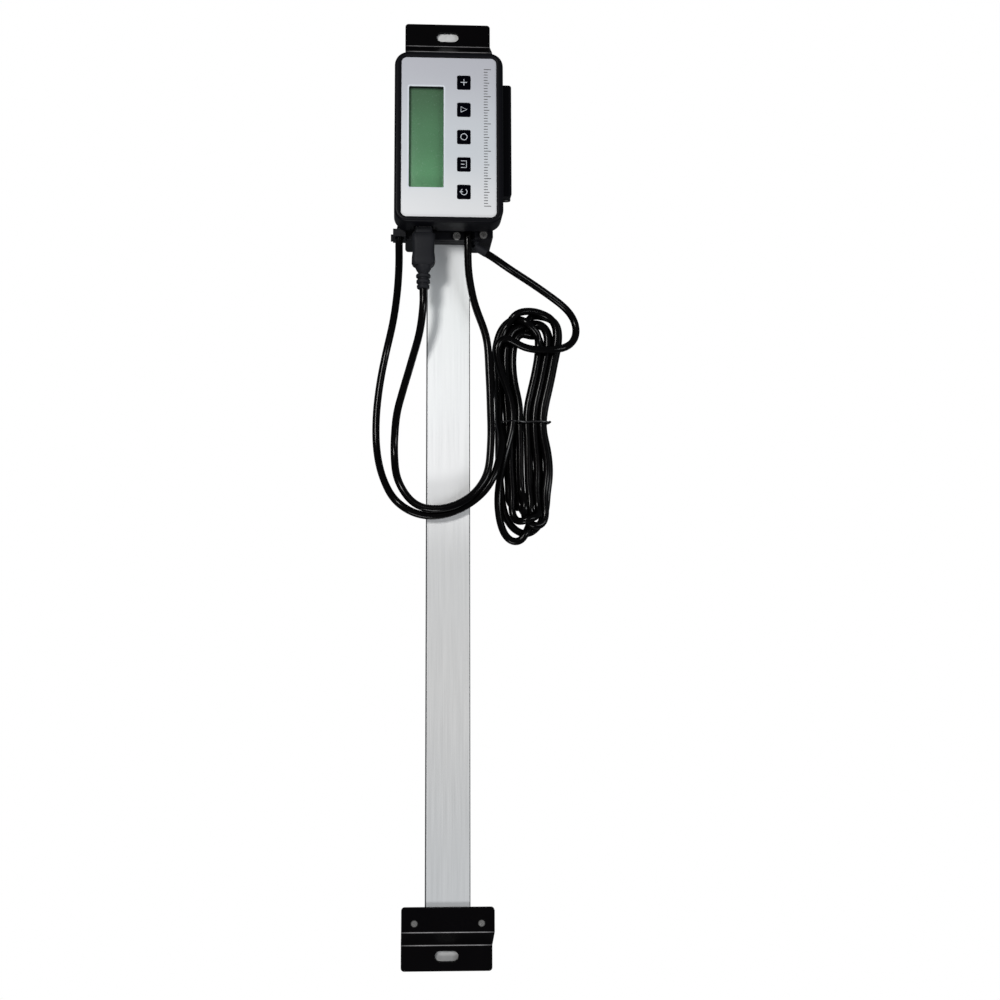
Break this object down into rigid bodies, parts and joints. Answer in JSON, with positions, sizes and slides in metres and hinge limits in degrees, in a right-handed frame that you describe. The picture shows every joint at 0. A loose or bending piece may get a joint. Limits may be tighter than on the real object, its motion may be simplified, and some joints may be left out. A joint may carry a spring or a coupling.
{
  "type": "remote digital readout linear scale",
  "caption": "Slim aluminium measuring beam on end brackets with a sliding reader head, a hinged remote display with keys on top, and a coiled data cable.",
  "frame": {"origin": "midway between the two mounting slots, on the plane the bracket feet are screwed to", "axes": "+Y along the beam towards the bracket that the head rests beside, +Z away from the mounting plane, +X across the beam towards the cable hank"},
  "size_m": [0.0961, 0.4324, 0.0365],
  "materials": {
    "beam_metal": "brushed",
    "grating": "satin",
    "face_strip": "brushed",
    "bracket_black": "satin",
    "screw_steel": "polished",
    "head_black": "satin",
    "case_black": "fine texture",
    "board_green": "solder mask",
    "sensor_grey": "glossy",
    "wiper_felt": "felt",
    "guide_ivory": "satin",
    "overlay_silver": "satin",
    "window_clear": "clear",
    "lcd_green": "reflective",
    "plug_black": "matte",
    "cable_black": "glossy jacket"
  },
  "bodies": {
    "scale": {"scale_beam": "beam_metal", "grating_strip": "grating", "beam_face_strip": "face_strip", "upper_end_bracket": "bracket_black", "lower_end_bracket": "bracket_black", "upper_clamp_plate": "screw_steel", "lower_clamp_plate": "screw_steel", "bracket_screws": "screw_steel"},
    "reader_head": {"head_housing": "head_black", "head_lid": "head_black", "head_rear_cover": "head_black", "lid_screws": "screw_steel", "rear_cover_screws": "screw_steel", "reader_board": "board_green", "reader_sensor": "sensor_grey", "end_wipers": "wiper_felt", "slide_pads": "guide_ivory", "gib_strip": "guide_ivory", "gib_screws": "screw_steel", "cable_clamp": "head_black", "clamp_screw": "screw_steel", "cable_gland": "plug_black", "cable_clip": "head_black", "clip_screw": "screw_steel", "display_base_plate": "head_black", "base_magnets": "screw_steel", "hinge_pin": "screw_steel", "cable_feed": "cable_black", "cable_return": "cable_black", "cable_hank": "cable_black", "hank_tie": "cable_black"},
    "display": {"display_rear_case": "case_black", "display_front_case": "case_black", "face_overlay": "overlay_silver", "lcd_window": "window_clear", "lcd_module": "lcd_green", "display_board": "board_green", "tact_switches": "screw_steel", "battery_contacts": "screw_steel", "coin_cell": "screw_steel", "data_socket": "screw_steel", "case_screws": "screw_steel", "plug_shell": "screw_steel", "plug_body": "plug_black", "plug_boot": "plug_black", "cable_tail": "cable_black"},
    "battery_cover": {"battery_cover": "case_black"},
    "key_on_off": {"key_on_off": "case_black"},
    "key_units": {"key_units": "case_black"},
    "key_zero": {"key_zero": "case_black"},
    "key_set": {"key_set": "case_black"},
    "key_abs": {"key_abs": "case_black"}
  },
  "joints": [
    {"name": "head_slide", "type": "slide", "parent": "scale", "child": "reader_head", "axis": [0, -1, 0], "range_m": [-0.01, 0.29]},
    {"name": "display_tilt", "type": "hinge", "parent": "reader_head", "child": "display", "pos_m": [0.0254, 0.1485, 0.0217], "axis": [0, 1, 0], "range_deg": [0, 90], "deforming": ["cable_tail"]},
    {"name": "battery_cover_slide", "type": "slide", "parent": "display", "child": "battery_cover", "axis": [0, 1, 0], "range_m": [0, 0.03]},
    {"name": "key_on_off_press", "type": "slide", "parent": "display", "child": "key_on_off", "axis": [0, 0, -1], "range_m": [0, 0.0005], "stiffness_N_per_m": 1500, "springref_m": -0.0006},
    {"name": "key_units_press", "type": "slide", "parent": "display", "child": "key_units", "axis": [0, 0, -1], "range_m": [0, 0.0005], "stiffness_N_per_m": 1500, "springref_m": -0.0006},
    {"name": "key_zero_press", "type": "slide", "parent": "display", "child": "key_zero", "axis": [0, 0, -1], "range_m": [0, 0.0005], "stiffness_N_per_m": 1500, "springref_m": -0.0006},
    {"name": "key_set_press", "type": "slide", "parent": "display", "child": "key_set", "axis": [0, 0, -1], "range_m": [0, 0.0005], "stiffness_N_per_m": 1500, "springref_m": -0.0006},
    {"name": "key_abs_press", "type": "slide", "parent": "display", "child": "key_abs", "axis": [0, 0, -1], "range_m": [0, 0.0005], "stiffness_N_per_m": 1500, "springref_m": -0.0006}
  ]
}
